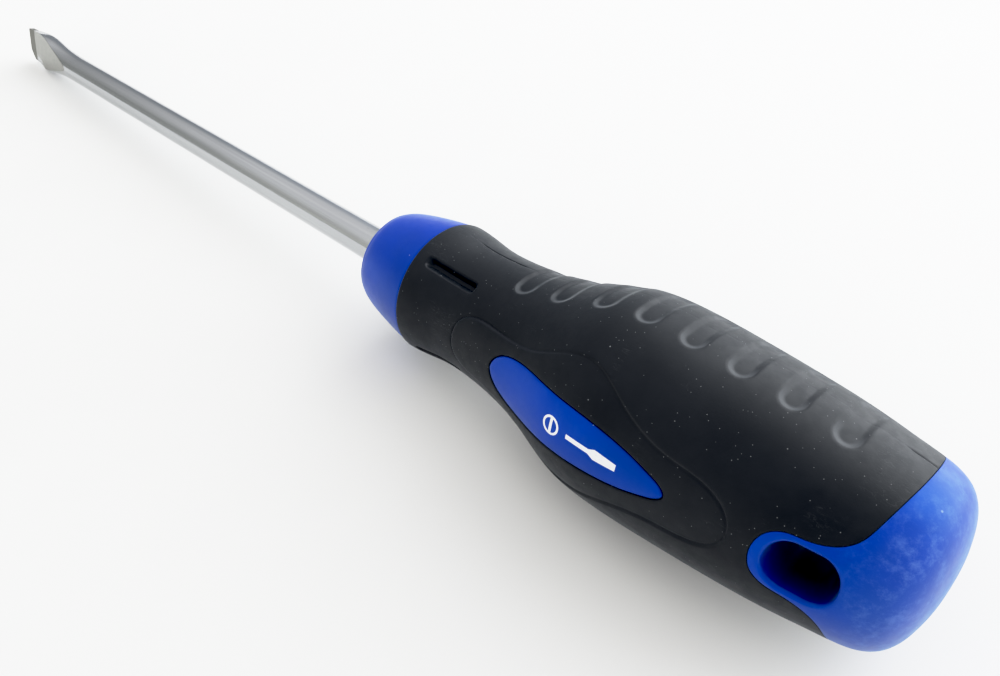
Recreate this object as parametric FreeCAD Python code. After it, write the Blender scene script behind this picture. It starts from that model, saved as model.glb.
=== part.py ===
import FreeCAD, Part
import math
import os

# Slotted screwdriver: 10 mm blade, 200 mm from edge to handle, two-part moulded handle.
# Millimetres.  +X runs along the shank from the blade edge to the butt, +Z is up
# as the tool lies on a bench, and the origin is the middle of the blade's edge.
#
# Everything is drawn in the tool's own symmetry frame (hang hole along Y, blade
# width along Z) and is then rolled about the shank by ROLL_DEG, as it settles
# on a flat bench.  In the handle tables, s is measured back from its front face.

Vector = FreeCAD.Vector
AXIS = Vector(1, 0, 0)
ORIGIN = Vector(0, 0, 0)
ROLL_DEG = -16.0

# ---------------------------------------------------------------- blade and shank sizes
SHANK_R = 8.0 / 2
HANDLE_X = 200.0              # blade edge to the front of the handle

TIP_HALF_W = 10.0 / 2         # nominal blade width
TIP_HALF_T = 1.6 / 2          # thickness of the ground tip
TIP_FLAT = 4.4                # length of the parallel ground tip
FLARE_HALF_W = 11.3 / 2       # widest point of the forged flare
BAR_START_X = 41.0            # plain round bar from here back
BAR_END_X = 284.0             # hidden end of the bar inside the handle
BAR_CHAMFER = 0.8

# Forged sections: x, half width (Z), half thickness (Y), superellipse power
FORGED_SECTIONS = [
    (-1.0, TIP_HALF_W - 0.1, 3.6, 6.0),
    (4.5, TIP_HALF_W + 0.15, 3.7, 5.0),
    (9.5, TIP_HALF_W + 0.45, 3.85, 3.8),
    (14.0, FLARE_HALF_W, 3.95, 3.0),
    (19.0, FLARE_HALF_W - 0.3, SHANK_R, 2.5),
    (23.5, FLARE_HALF_W - 0.8, SHANK_R, 2.2),
    (28.0, FLARE_HALF_W - 1.2, SHANK_R, 2.05),
    (32.0, FLARE_HALF_W - 1.45, SHANK_R, 2.0),
    (36.0, FLARE_HALF_W - 1.6, SHANK_R, 2.0),
    (40.0, SHANK_R, SHANK_R, 2.0),
    (BAR_START_X, SHANK_R, SHANK_R, 2.0),
]
SECTION_POINTS = 24

# Ground wedge, upper half: x, y.  Its taper planes just clear the bar where they run out.
WEDGE_END_X = 36.0
WEDGE_OUT = [(0.0, TIP_HALF_T), (TIP_FLAT, TIP_HALF_T), (WEDGE_END_X, SHANK_R + 0.06),
             (WEDGE_END_X + 3, SHANK_R + 1.5), (46.0, SHANK_R + 1.5)]
WEDGE_HALF_W = 12.0

# Corners of the working edge: x, z
WORN_ARC = [(0.0, -1.5), (2.2, -4.2), (7.0, -5.8)]
WORN_OUTER_X, WORN_OUTER_Z = -2.0, -9.0      # cutter's corner, clear of the steel
NICK = [(-0.5, TIP_HALF_W - 0.9), (-0.5, 9.0), (3.0, 9.0), (1.0, TIP_HALF_W + 0.6)]
CORNER_CUT_HALF_T = 3.0

# Swaged wings that stop the bar turning in the handle
WING_X0, WING_X1 = 258.0, 274.0
WING_HALF_SPAN = 13.0 / 2
WING_THICK = 3.0
WING_SLOPE = 3.0              # length of each sloping end

# ---------------------------------------------------------------- handle sizes
# Turned profiles: s, radius
COLLAR_END = 15.87            # front edge of the soft grip
COLLAR_EDGE_R = 0.9
COLLAR = [(0.0, 10.55), (3.0, 11.45), (7.9, 12.58), (12.0, 13.33), (15.87, 13.84), (17.5, 14.0)]
SKIN = [
    (15.0, 14.02), (16.6, 14.02), (18.5, 13.87), (21.8, 13.42), (25.0, 12.97), (28.5, 12.79),
    (32.0, 12.87), (35.6, 13.12), (39.5, 13.58), (43.5, 14.26), (47.5, 15.24), (51.4, 16.43),
    (55.4, 17.80), (59.3, 18.85), (63.5, 19.34), (69.2, 19.42), (74.0, 19.25), (79.1, 18.94),
    (84.0, 18.60), (89.0, 18.20), (94.0, 17.74), (98.9, 17.14), (102.0, 16.66), (104.8, 16.18),
    (108.8, 15.52), (111.8, 14.72), (113.8, 13.60), (115.1, 12.25), (116.2, 10.25),
    (117.05, 7.4), (117.6, 4.2), (117.8, 0.0)]
SKIN_CLIP_END = 120.0         # just past the butt
# Thumb panel: straighter than the grip, so it stands proud of the waist and is
# let in a little across the belly
PANEL = [
    (26.0, 13.10), (31.0, 13.20), (35.6, 13.62), (39.5, 14.12), (43.5, 14.80), (47.5, 15.72),
    (51.4, 16.78), (55.4, 17.90), (59.3, 18.72), (63.5, 19.10), (69.2, 19.16), (74.0, 19.00),
    (79.1, 18.70), (84.0, 18.36), (89.0, 17.95), (94.0, 17.50), (98.0, 17.1)]
# Hidden core under the soft grip
CORE = [(9.0, 10.2), (18.0, 11.0), (28.0, 10.2), (36.5, 10.6), (46.0, 12.3), (57.0, 15.7),
        (68.0, 16.8), (82.0, 16.2), (97.0, 14.7), (112.0, 11.8)]

# Side-view outlines, seen along Y: s, half height
PANEL_OUT = [
    (30.6, 0.0), (30.9, 2.2), (32.3, 4.3), (35.0, 5.5), (40.0, 5.9), (46.0, 6.4),
    (51.0, 7.7), (55.5, 10.0), (59.0, 11.6), (62.5, 12.2), (66.0, 11.5), (70.0, 9.7),
    (74.5, 7.7), (80.0, 6.2), (85.0, 5.6), (88.5, 4.6), (91.0, 2.6), (91.8, 0.0)]
PAD_OUT = [
    (42.1, 0.0), (42.6, 1.5), (44.4, 3.2), (47.5, 4.35), (52.0, 4.95), (58.0, 5.12),
    (64.0, 4.95), (70.0, 4.35), (75.0, 3.35), (79.0, 2.05), (81.0, 1.05), (81.7, 0.0)]
REAR_OUT = [
    (95.5, 0.0), (95.7, 1.6), (96.2, 2.95), (97.4, 4.25), (99.2, 4.98), (101.0, 5.15),
    (102.7, 5.4), (104.5, 5.98), (106.1, 6.98), (107.2, 8.3), (107.95, 10.2), (108.6, 12.2),
    (109.3, 14.2), (110.0, 16.2), (110.5, 18.5)]
REAR_PRISM_END = 140.0        # s, well behind the butt

# Hang hole, long way round along the handle
HOLE_S0, HOLE_S1 = 97.2, 107.6
HOLE_H = 8.2
HOLE_CORNER = 3.6

# Relief in the soft grip: slots along the handle, ovals across it
SLOT_S0, SLOT_S1 = 18.8, 31.3
SLOT_HALF_W = 2.4 / 2
SLOT_DEPTH = 1.5
SLOT_DIRS = (45.0, 135.0, 225.0, 315.0)
OVAL_S = [39.9, 48.0, 56.6, 64.8, 73.2, 81.7, 90.2, 98.7]
OVAL_HALF_LEN = 14.4 / 2
OVAL_HALF_W = 4.4 / 2
OVAL_DEPTH = 0.45
RELIEF_Z0, RELIEF_Z1 = 4.0, 30.0             # inner and outer ends of the cutters

# Flat pressed into the belly, placed in the rolled frame
FLAT_LEN, FLAT_WIDTH, FLAT_BLOCK_H = 40.0, 24.0, 4.0
FLAT_TILT_DEG = 3.1           # slope of the line from tip to belly
FLAT_CENTRE = Vector(264.0, 0, -19.2552)

CUT_REACH = 40.0              # radius that clears the whole handle


# ---------------------------------------------------------------- helpers
def lines(*points):
    """Straight edges joining the points in turn."""
    return [Part.makeLine(a, b) for a, b in zip(points, points[1:])]


def spline(points, tangents=None):
    curve = Part.BSplineCurve()
    if tangents:
        curve.interpolate(Points=points, InitialTangent=tangents[0], FinalTangent=tangents[1])
    else:
        curve.interpolate(points)
    return curve.toShape()


def polygon_prism(points, extrusion):
    return Part.Face(Part.makePolygon(points + [points[0]])).extrude(extrusion)


def stadium_prism(corners, ends, height):
    """Prism along Z; the arcs join corners 1-2 and 3-0 through the two end points."""
    a, b, c, d = corners
    wire = Part.Wire(lines(a, b) + [Part.Arc(b, ends[0], c).toShape()]
                     + lines(c, d) + [Part.Arc(d, ends[1], a).toShape()])
    return Part.Face(wire).extrude(Vector(0, 0, height))


def turned(profile, drop=0.0, dome=False):
    """Solid of revolution under (s, radius) stations; a dome closes on the axis."""
    points = [Vector(HANDLE_X + s, 0, radius - drop) for s, radius in profile]
    first, last = points[0], points[-1]
    axis_start, axis_end = Vector(first.x, 0, 0), Vector(last.x, 0, 0)
    if dome:
        skin = spline(points, (Vector(1, 0, 0), Vector(0, 0, -1)))
        edges = [skin] + lines(last, axis_start, first)
    else:
        edges = [spline(points)] + lines(last, axis_end, axis_start, first)
    face = Part.Face(Part.Wire(Part.__sortEdges__(edges)))
    return face.revolve(ORIGIN, AXIS, 360)


def skin_offset(s_min, s_max, depth):
    """Body lying the given depth under part of the grip's skin."""
    return turned([(s, radius) for s, radius in SKIN if s_min < s < s_max], drop=depth)


def handle_slab(s0, s1):
    return Part.makeCylinder(CUT_REACH, s1 - s0, Vector(HANDLE_X + s0, 0, 0), AXIS)


def outline_halves(outline):
    """Upper points front to back, then lower points back to front."""
    upper = [Vector(HANDLE_X + s, -CUT_REACH, h) for s, h in outline]
    lower = [Vector(HANDLE_X + s, -CUT_REACH, -h) for s, h in reversed(outline)]
    return upper, lower


def side_prism(edges):
    """Prism along Y right through the handle."""
    return Part.Face(Part.Wire(edges)).extrude(Vector(0, 2 * CUT_REACH, 0))


def closed_prism(outline):
    upper, lower = outline_halves(outline)
    up, down = Vector(0, 0, 1), Vector(0, 0, -1)
    return side_prism([spline(upper, (up, down)), spline(lower, (down, up))])


def open_prism(outline, far_s):
    """Rounded nose through the outline, carried straight back to far_s."""
    upper, lower = outline_halves(outline)
    points = lower[:-1] + upper
    bottom, top = points[0], points[-1]
    far_x = HANDLE_X + far_s
    far_top = Vector(far_x, -CUT_REACH, top.z)
    far_bottom = Vector(far_x, -CUT_REACH, bottom.z)
    return side_prism([spline(points)] + lines(top, far_top, far_bottom, bottom))


def one_solid(shape):
    return max(shape.removeSplitter().Solids, key=lambda solid: solid.Volume)


# ---------------------------------------------------------------- blade and shank
def forged_section(x, half_w, half_t, power):
    """Closed superellipse across the bar at station x."""
    points = []
    for i in range(SECTION_POINTS):
        angle = 2 * math.pi * i / SECTION_POINTS
        cos_a, sin_a = math.cos(angle), math.sin(angle)
        z = half_w * math.copysign(abs(cos_a) ** (2.0 / power), cos_a)
        y = half_t * math.copysign(abs(sin_a) ** (2.0 / power), sin_a)
        points.append(Vector(x, y, z))
    curve = Part.BSplineCurve()
    curve.interpolate(Points=points, PeriodicFlag=True)
    return Part.Wire([curve.toShape()])


def make_blade():
    forged = Part.makeLoft([forged_section(*row) for row in FORGED_SECTIONS], True, False)
    wedge_points = [Vector(x, y, -WEDGE_HALF_W) for x, y in WEDGE_OUT]
    wedge_points += [Vector(x, -y, -WEDGE_HALF_W) for x, y in reversed(WEDGE_OUT)]
    wedge = polygon_prism(wedge_points, Vector(0, 0, 2 * WEDGE_HALF_W))
    blade = forged.common(wedge).Solids[0]

    # the -Z corner is rounded with use, the +Z corner just broken
    cut_y = -CORNER_CUT_HALF_T
    across = Vector(0, 2 * CORNER_CUT_HALF_T, 0)
    worn = [Vector(x, cut_y, z) for x, z in WORN_ARC]
    edges = [Part.Arc(*worn).toShape()] + lines(
        worn[2],
        Vector(worn[2].x, cut_y, WORN_OUTER_Z),
        Vector(WORN_OUTER_X, cut_y, WORN_OUTER_Z),
        Vector(WORN_OUTER_X, cut_y, worn[0].z),
        worn[0])
    blade = blade.cut(Part.Face(Part.Wire(edges)).extrude(across)).Solids[0]
    nick = polygon_prism([Vector(x, cut_y, z) for x, z in NICK], across)
    return blade.cut(nick).Solids[0]


def make_bar():
    bar = Part.makeCylinder(SHANK_R, BAR_END_X - BAR_START_X, Vector(BAR_START_X, 0, 0), AXIS)
    end_edges = [e for e in bar.Edges
                 if abs(e.BoundBox.XMin - BAR_END_X) < 1e-4
                 and abs(e.BoundBox.XMax - BAR_END_X) < 1e-4]
    return bar.makeChamfer(BAR_CHAMFER, end_edges).Solids[0]


def make_wings():
    front, back = WING_X0 + WING_SLOPE, WING_X1 - WING_SLOPE
    outline = [(WING_X0, 0), (front, WING_HALF_SPAN), (back, WING_HALF_SPAN),
               (WING_X1, 0), (back, -WING_HALF_SPAN), (front, -WING_HALF_SPAN)]
    return polygon_prism([Vector(x, -WING_THICK / 2, z) for x, z in outline],
                         Vector(0, WING_THICK, 0))


def make_blade_shaft():
    # the small fuzzy tolerance joins the lofted blade end to the true cylinder
    return one_solid(make_blade().fuse(make_bar(), 0.002).fuse(make_wings()))


# ---------------------------------------------------------------- handle
def make_collar():
    collar = turned(COLLAR)
    front_edges = [e for e in collar.Edges
                   if e.BoundBox.XMax < HANDLE_X + 0.01 and e.BoundBox.ZMax > 5]
    return collar.makeFillet(COLLAR_EDGE_R, front_edges).common(handle_slab(0.0, COLLAR_END))


def make_grip_body():
    """Outer form behind the collar, before it is split into hard and soft parts."""
    skin = turned(SKIN, dome=True).common(handle_slab(COLLAR_END, SKIN_CLIP_END))
    panel = turned(PANEL)
    panel_prism = closed_prism(PANEL_OUT)
    # the panel adds material at the waist and takes a little off the belly
    return skin.fuse(panel.common(panel_prism)).cut(panel_prism.cut(panel))


def make_hang_hole():
    hole = Part.makeBox(HOLE_S1 - HOLE_S0, 2 * CUT_REACH, HOLE_H,
                        Vector(HANDLE_X + HOLE_S0, -CUT_REACH, -HOLE_H / 2))
    long_edges = [e for e in hole.Edges if e.BoundBox.YLength > 2 * CUT_REACH - 1]
    return hole.makeFillet(HOLE_CORNER, long_edges)


def make_handle_core(grip_body, inner, pad_prism, rear_prism, blade_shaft):
    """Hard part: collar, hidden core, side pads and butt."""
    core = make_collar().fuse(inner)
    core = core.fuse(grip_body.common(pad_prism))
    core = core.fuse(grip_body.common(rear_prism))
    return one_solid(core.cut(make_hang_hole()).cut(blade_shaft))


def oval_cutter(s, side):
    """Stadium long across Y, on the +Z (side 1) or -Z (side -1) face."""
    x, z = HANDLE_X + s, RELIEF_Z0 * side
    x0, x1 = x - OVAL_HALF_W, x + OVAL_HALF_W
    y = OVAL_HALF_LEN - OVAL_HALF_W
    corners = [Vector(x0, -y, z), Vector(x0, y, z), Vector(x1, y, z), Vector(x1, -y, z)]
    ends = [Vector(x, OVAL_HALF_LEN, z), Vector(x, -OVAL_HALF_LEN, z)]
    return stadium_prism(corners, ends, (RELIEF_Z1 - RELIEF_Z0) * side)


def slot_cutter():
    """Stadium long along X, on the +Z side."""
    x0, x1 = HANDLE_X + SLOT_S0, HANDLE_X + SLOT_S1
    y, z = SLOT_HALF_W, RELIEF_Z0
    corners = [Vector(x0 + y, -y, z), Vector(x1 - y, -y, z),
               Vector(x1 - y, y, z), Vector(x0 + y, y, z)]
    ends = [Vector(x1, 0, z), Vector(x0, 0, z)]
    return stadium_prism(corners, ends, RELIEF_Z1 - RELIEF_Z0)


def make_grip_sleeve(grip_body, inner, pad_prism, rear_prism):
    """Soft part: the sleeve with its relief."""
    grip = grip_body.cut(pad_prism).cut(rear_prism).cut(inner)
    oval_floor = skin_offset(16.0, 113.0, OVAL_DEPTH)
    for s in OVAL_S:
        for side in (1, -1):
            grip = grip.cut(oval_cutter(s, side).cut(oval_floor))
    slot_floor = skin_offset(16.0, 40.0, SLOT_DEPTH)
    for angle in SLOT_DIRS:
        cutter = slot_cutter().cut(slot_floor)
        cutter.rotate(ORIGIN, AXIS, angle)
        grip = grip.cut(cutter)
    return one_solid(grip)


def press_belly_flat(sleeve):
    """Flat 0.1 mm deep where the rolled tool lies on belly and tip."""
    block = Part.makeBox(FLAT_LEN, FLAT_WIDTH, FLAT_BLOCK_H,
                         Vector(-FLAT_LEN / 2, -FLAT_WIDTH / 2, -FLAT_BLOCK_H))
    block.rotate(ORIGIN, Vector(0, 1, 0), FLAT_TILT_DEG)
    block.translate(FLAT_CENTRE)
    return one_solid(sleeve.cut(block))


# ---------------------------------------------------------------- build and write
blade_shaft = make_blade_shaft()
shared = (make_grip_body(), turned(CORE), closed_prism(PAD_OUT),
          open_prism(REAR_OUT, REAR_PRISM_END))
parts = {
    "blade_shaft": blade_shaft,
    "handle_core": make_handle_core(*shared, blade_shaft),
    "grip_sleeve": make_grip_sleeve(*shared),
}
for part in parts.values():
    part.rotate(ORIGIN, AXIS, ROLL_DEG)
parts["grip_sleeve"] = press_belly_flat(parts["grip_sleeve"])

os.makedirs("parts", exist_ok=True)
for name, part in parts.items():
    part.exportStep("parts/%s.step" % name)
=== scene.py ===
# A flat-bladed screwdriver lying on a pale table. Its axis is X: the working edge is at X = 0
# and the butt of the blue handle, with its black soft grip, is at the high-X end. The tool is
# rolled a little about X, so meshes are built upright in millimetres and rolled at the end.
import math

import bmesh
import bpy
import numpy as np
from mathutils import Matrix, Vector, kdtree
from mathutils.geometry import delaunay_2d_cdt


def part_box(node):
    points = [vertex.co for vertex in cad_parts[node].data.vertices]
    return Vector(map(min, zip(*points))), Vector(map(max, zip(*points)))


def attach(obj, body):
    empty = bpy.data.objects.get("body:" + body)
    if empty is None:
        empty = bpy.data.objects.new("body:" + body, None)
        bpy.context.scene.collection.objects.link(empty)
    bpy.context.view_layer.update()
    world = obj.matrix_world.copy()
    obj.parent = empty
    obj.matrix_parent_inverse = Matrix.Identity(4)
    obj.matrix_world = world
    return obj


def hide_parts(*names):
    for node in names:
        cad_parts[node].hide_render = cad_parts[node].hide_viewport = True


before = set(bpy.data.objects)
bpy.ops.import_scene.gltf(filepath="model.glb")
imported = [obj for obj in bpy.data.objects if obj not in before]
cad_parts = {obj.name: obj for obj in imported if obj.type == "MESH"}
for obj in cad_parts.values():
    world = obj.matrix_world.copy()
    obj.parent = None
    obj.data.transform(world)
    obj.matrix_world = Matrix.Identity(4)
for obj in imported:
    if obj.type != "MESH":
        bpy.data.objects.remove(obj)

MM = 0.001
QUARTER = math.pi / 2


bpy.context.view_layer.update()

# ------------------------------------------------------------------ places from the frame (mm)
core_low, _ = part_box("handle_core")
_, shaft_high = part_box("blade_shaft")
grip_low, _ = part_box("grip_sleeve")
HANDLE_X = core_low.x / MM               # front face of the handle
BAR_END = shaft_high.x / MM              # back end of the steel bar
GRIP_START = grip_low.x / MM - HANDLE_X  # station of the soft grip's front edge
ROLL = math.radians(-16.0)               # roll of the tool about +X

# ------------------------------------------------------------------ handle tables (mm)
# A station is the distance behind the handle's front face.
# Profiles: (station, radius).
COLLAR_PROFILE = [
    (0.0, 10.55), (3.0, 11.45), (7.9, 12.58), (12.0, 13.33), (15.87, 13.84), (17.5, 14.0)]
SKIN_PROFILE = [
    (15.0, 14.02), (16.6, 14.02), (18.5, 13.87), (21.8, 13.42), (25.0, 12.97), (28.5, 12.79),
    (32.0, 12.87), (35.6, 13.12), (39.5, 13.58), (43.5, 14.26), (47.5, 15.24), (51.4, 16.43),
    (55.4, 17.80), (59.3, 18.85), (63.5, 19.34), (69.2, 19.42), (74.0, 19.25), (79.1, 18.94),
    (84.0, 18.60), (89.0, 18.20), (94.0, 17.74), (98.9, 17.14), (102.0, 16.66), (104.8, 16.18),
    (108.8, 15.52), (111.8, 14.72), (113.8, 13.60), (115.1, 12.25), (116.2, 10.25),
    (117.05, 7.4), (117.6, 4.2), (117.8, 0.0)]
PANEL_PROFILE = [
    (26.0, 13.10), (31.0, 13.20), (35.6, 13.62), (39.5, 14.12), (43.5, 14.80), (47.5, 15.72),
    (51.4, 16.78), (55.4, 17.90), (59.3, 18.72), (63.5, 19.10), (69.2, 19.16), (74.0, 19.00),
    (79.1, 18.70), (84.0, 18.36), (89.0, 17.95), (94.0, 17.50), (98.0, 17.1)]
CORE_PROFILE = [
    (9.0, 10.2), (18.0, 11.0), (28.0, 10.2), (36.5, 10.6), (46.0, 12.3), (57.0, 15.7),
    (68.0, 16.8), (82.0, 16.2), (97.0, 14.7), (112.0, 11.8)]
# Side-view half outlines: (station, height above the axis).
PANEL_OUTLINE = [
    (30.6, 0.0), (30.9, 2.2), (32.3, 4.3), (35.0, 5.5), (40.0, 5.9), (46.0, 6.4), (51.0, 7.7),
    (55.5, 10.0), (59.0, 11.6), (62.5, 12.2), (66.0, 11.5), (70.0, 9.7), (74.5, 7.7),
    (80.0, 6.2), (85.0, 5.6), (88.5, 4.6), (91.0, 2.6), (91.8, 0.0)]
PAD_OUTLINE = [
    (42.1, 0.0), (42.6, 1.5), (44.4, 3.2), (47.5, 4.35), (52.0, 4.95), (58.0, 5.12),
    (64.0, 4.95), (70.0, 4.35), (75.0, 3.35), (79.0, 2.05), (81.0, 1.05), (81.7, 0.0)]
BUTT_OUTLINE = [
    (95.5, 0.0), (95.7, 1.6), (96.2, 2.95), (97.4, 4.25), (99.2, 4.98), (101.0, 5.15),
    (102.7, 5.4), (104.5, 5.98), (106.1, 6.98), (107.2, 8.3), (107.95, 10.2), (108.6, 12.2),
    (109.3, 14.2), (110.0, 16.2), (110.5, 18.5)]

# Hang hole through the butt, and the four slots near the front of the grip:
# centre station, half length, half width, corner radius
HOLE_CENTRE, HOLE_HALF_L, HOLE_HALF_W, HOLE_CORNER = 102.4, 5.1, 4.1, 3.6
SLOT_CENTRE, SLOT_HALF_L, SLOT_HALF_W, SLOT_CORNER = 25.05, 6.25, 1.25, 0.9
SLOT_TURN = math.pi / 4
SLOT_DEPTH = 1.35
# Shallow ovals across the top and bottom of the grip: stations, half length, half width
OVAL_STATIONS = [39.9, 48.0, 56.6, 64.8, 73.2, 81.7, 90.2, 98.7]
OVAL_HALF_L, OVAL_HALF_W = 7.2, 2.2
OVAL_STRAIGHT = OVAL_HALF_L - OVAL_HALF_W
OVAL_DEPTH = 0.40

FLAT_RADIUS = 16.5                    # radius used to unroll the handle
FLATTEN = [1, FLAT_RADIUS]            # (run, turn) to flat millimetres
GAP = 0.10                            # shut-off line between hard and soft plastic
SEAT = 0.05                           # hidden core face below the grip's inner face
BUTT_EDGE = 0.14                      # edge radii: where grip and butt meet,
GRIP_EDGE = 0.34                      # soft grip,
PAD_EDGE = 0.28                       # hard pads,
HOLE_EDGE = 0.65                      # and hang hole
FINE, COARSE = 0.62, 2.2              # point spacing of visible and hidden faces
HIDDEN_MARGIN = 0.3                   # edge margin of hidden faces, in spacings
BORE_RADIUS, BORE_CHAMFER = 4.05, 0.4


# ------------------------------------------------------------------ curve helpers
def natural_cubic(knots, values):
    """Natural cubic spline as a function."""
    knots, values = np.asarray(knots, float), np.asarray(values, float)
    count = len(knots)
    gaps = np.diff(knots)
    matrix = np.zeros((count, count))
    rhs = np.zeros(count)
    matrix[0, 0] = matrix[-1, -1] = 1.0
    for i in range(1, count - 1):
        matrix[i, i - 1:i + 2] = gaps[i - 1], 2 * (gaps[i - 1] + gaps[i]), gaps[i]
        rhs[i] = 6 * ((values[i + 1] - values[i]) / gaps[i]
                      - (values[i] - values[i - 1]) / gaps[i - 1])
    bend = np.linalg.solve(matrix, rhs)

    def spline(x):
        x = np.asarray(x, float)
        i = np.clip(np.searchsorted(knots, x) - 1, 0, count - 2)
        past, left, gap = x - knots[i], knots[i + 1] - x, gaps[i]
        return ((bend[i] * left ** 3 + bend[i + 1] * past ** 3) / (6 * gap)
                + (values[i] / gap - bend[i] * gap / 6) * left
                + (values[i + 1] / gap - bend[i + 1] * gap / 6) * past)
    return spline


def smooth(low, high, x):
    """Smooth 0 to 1 step between low and high."""
    part = np.clip((np.asarray(x, float) - low) / (high - low), 0, 1)
    return part * part * (3 - 2 * part)


def lengths(points):
    """Running length along a polyline."""
    return np.concatenate([[0], np.cumsum(np.linalg.norm(np.diff(points, axis=0), axis=1))])


def dense(points, before=(), after=(), count=6000):
    """Many points on a chord-length spline; before and after shape its ends."""
    knots = np.array(list(before) + list(points) + list(after), float)
    length = lengths(knots)
    start, end = length[len(before)], length[len(before) + len(points) - 1]
    spots = np.linspace(start, end, count)
    return np.stack([natural_cubic(length, knots[:, k])(spots) for k in (0, 1)], 1)


def mirrored(points):
    return [(station, -height) for station, height in points]


def dense_outline(points, count=6000, open_end=False):
    """Half outline whose closed ends meet the axis squarely."""
    after = [] if open_end else mirrored(points[-2:-4:-1])
    return dense(points, mirrored(points[2:0:-1]), after, count)


def profile(table):
    """Radius as a function of station."""
    points = dense(table)
    return lambda station: np.interp(station, points[:, 0], points[:, 1])


# ------------------------------------------------------------------ coordinates on the skin
# Run is the length along the skin's profile from its front end. Turn is the angle about the
# axis, 0 at the top (+Z) and a quarter turn at the side (-Y). A curve is rows of (run, turn).
skin = dense(SKIN_PROFILE, after=mirrored(SKIN_PROFILE[-2:-6:-1]))
skin_run = lengths(skin)
RUN_END = skin_run[-1]


def run_at(station):
    return np.interp(station, skin[:, 0], skin_run)


def station_at(run):
    return np.interp(run, skin_run, skin[:, 0])


def radius_at(run):
    return np.interp(run, skin_run, np.maximum(skin[:, 1], 0))


panel_radius = profile(PANEL_PROFILE)
core_radius = profile(CORE_PROFILE)
collar_radius = profile(COLLAR_PROFILE)


def resample(curve, spacing):
    """Even points along a curve, by length on the skin."""
    run, turn = curve[:, 0], curve[:, 1]
    radius = radius_at(run)
    length = lengths(np.stack([station_at(run), radius * np.cos(turn), radius * np.sin(turn)], 1))
    count = max(int(round(length[-1] / spacing)), 2)
    spots = np.linspace(0, length[-1], count + 1)
    return np.stack([np.interp(spots, length, run), np.interp(spots, length, turn)], 1)


def side_curve(points, spacing, open_end=False):
    """Side-view half outline laid on the skin; an open end runs up to the top line."""
    outline = dense_outline(points, 9000, open_end)
    cosine = outline[:, 1] / radius_at(run_at(outline[:, 0]))
    if open_end:
        stop = np.argmax(cosine >= 1.0)
        outline, cosine = outline[:stop], cosine[:stop]
    turn = np.arccos(np.clip(cosine, -1, 1))
    run = run_at(outline[:, 0])
    if open_end:
        run, turn = np.append(run, run[-1]), np.append(turn, 0.0)
    curve = resample(np.stack([run, turn], 1), spacing)
    curve[0, 1] = QUARTER
    curve[-1, 1] = 0.0 if open_end else QUARTER
    return curve


def offset(curve, distance):
    """Curve moved to its left on the skin; ends stay on their symmetry plane."""
    run, turn = curve[:, 0], curve[:, 1]
    radius = radius_at(run)
    along, around = np.gradient(run), np.gradient(turn) * radius
    # the end tangents are square to the symmetry plane
    for end in (0, -1):
        along[end] = 0.0
        around[end] = around[end] if abs(around[end]) > 1e-9 else 1e-9
    size = np.hypot(along, around)
    moved = np.stack([run + distance * (-around / size),
                      turn + distance * (along / size) / radius], 1)
    moved[0, 1], moved[-1, 1] = turn[0], turn[-1]
    return moved


def straight(start, end, turn, spacing):
    """Points between two runs at a fixed turn, without the ends."""
    count = max(int(round(abs(end - start) / spacing)), 1)
    run = np.linspace(start, end, count + 1)[1:-1]
    return np.stack([run, np.full(len(run), turn)], 1)


def point_tree(points):
    tree = kdtree.KDTree(len(points))
    for i, point in enumerate(points):
        tree.insert(point, i)
    tree.balance()
    return tree


# ------------------------------------------------------------------ surfaces: radius at (run, turn)
def skin_xyz(run, turn):
    radius = radius_at(run)
    return np.stack([station_at(run), radius * np.sin(turn), radius * np.cos(turn)], 1)


panel_curve = side_curve(PANEL_OUTLINE, 0.04)
panel_tree = point_tree(skin_xyz(panel_curve[:, 0], panel_curve[:, 1]))
panel_outline = dense_outline(PANEL_OUTLINE)


def panel_depth(run, turn):
    """Distance inside the side panel's outline, negative outside."""
    points = skin_xyz(run, turn)
    distance = np.array([panel_tree.find(point)[2] for point in points])
    station = points[:, 0]
    height = np.interp(station, panel_outline[:, 0], panel_outline[:, 1], left=-1, right=-1)
    inside = ((np.abs(points[:, 2]) < height) & (station > panel_outline[0, 0])
              & (station < panel_outline[-1, 0]))
    return np.where(inside, distance, -distance)


def rounded_box_depth(x, y, half_x, half_y, corner):
    """Distance inside a rounded rectangle centred on the origin."""
    over_x, over_y = np.abs(x) - (half_x - corner), np.abs(y) - (half_y - corner)
    return corner - (np.hypot(np.maximum(over_x, 0), np.maximum(over_y, 0))
                     + np.minimum(np.maximum(over_x, over_y), 0))


def seam_strength(station):
    """Parting line: faint all along, strong near the front and at the butt, with ripples."""
    return (0.16 + 0.95 * smooth(22, 25, station) * (1 - smooth(34, 37.5, station))
            + 0.9 * smooth(104.6, 106, station)
            + 0.12 * np.sin(station * 1.9) + 0.1 * np.sin(station * 4.3 + 1.0))


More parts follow.
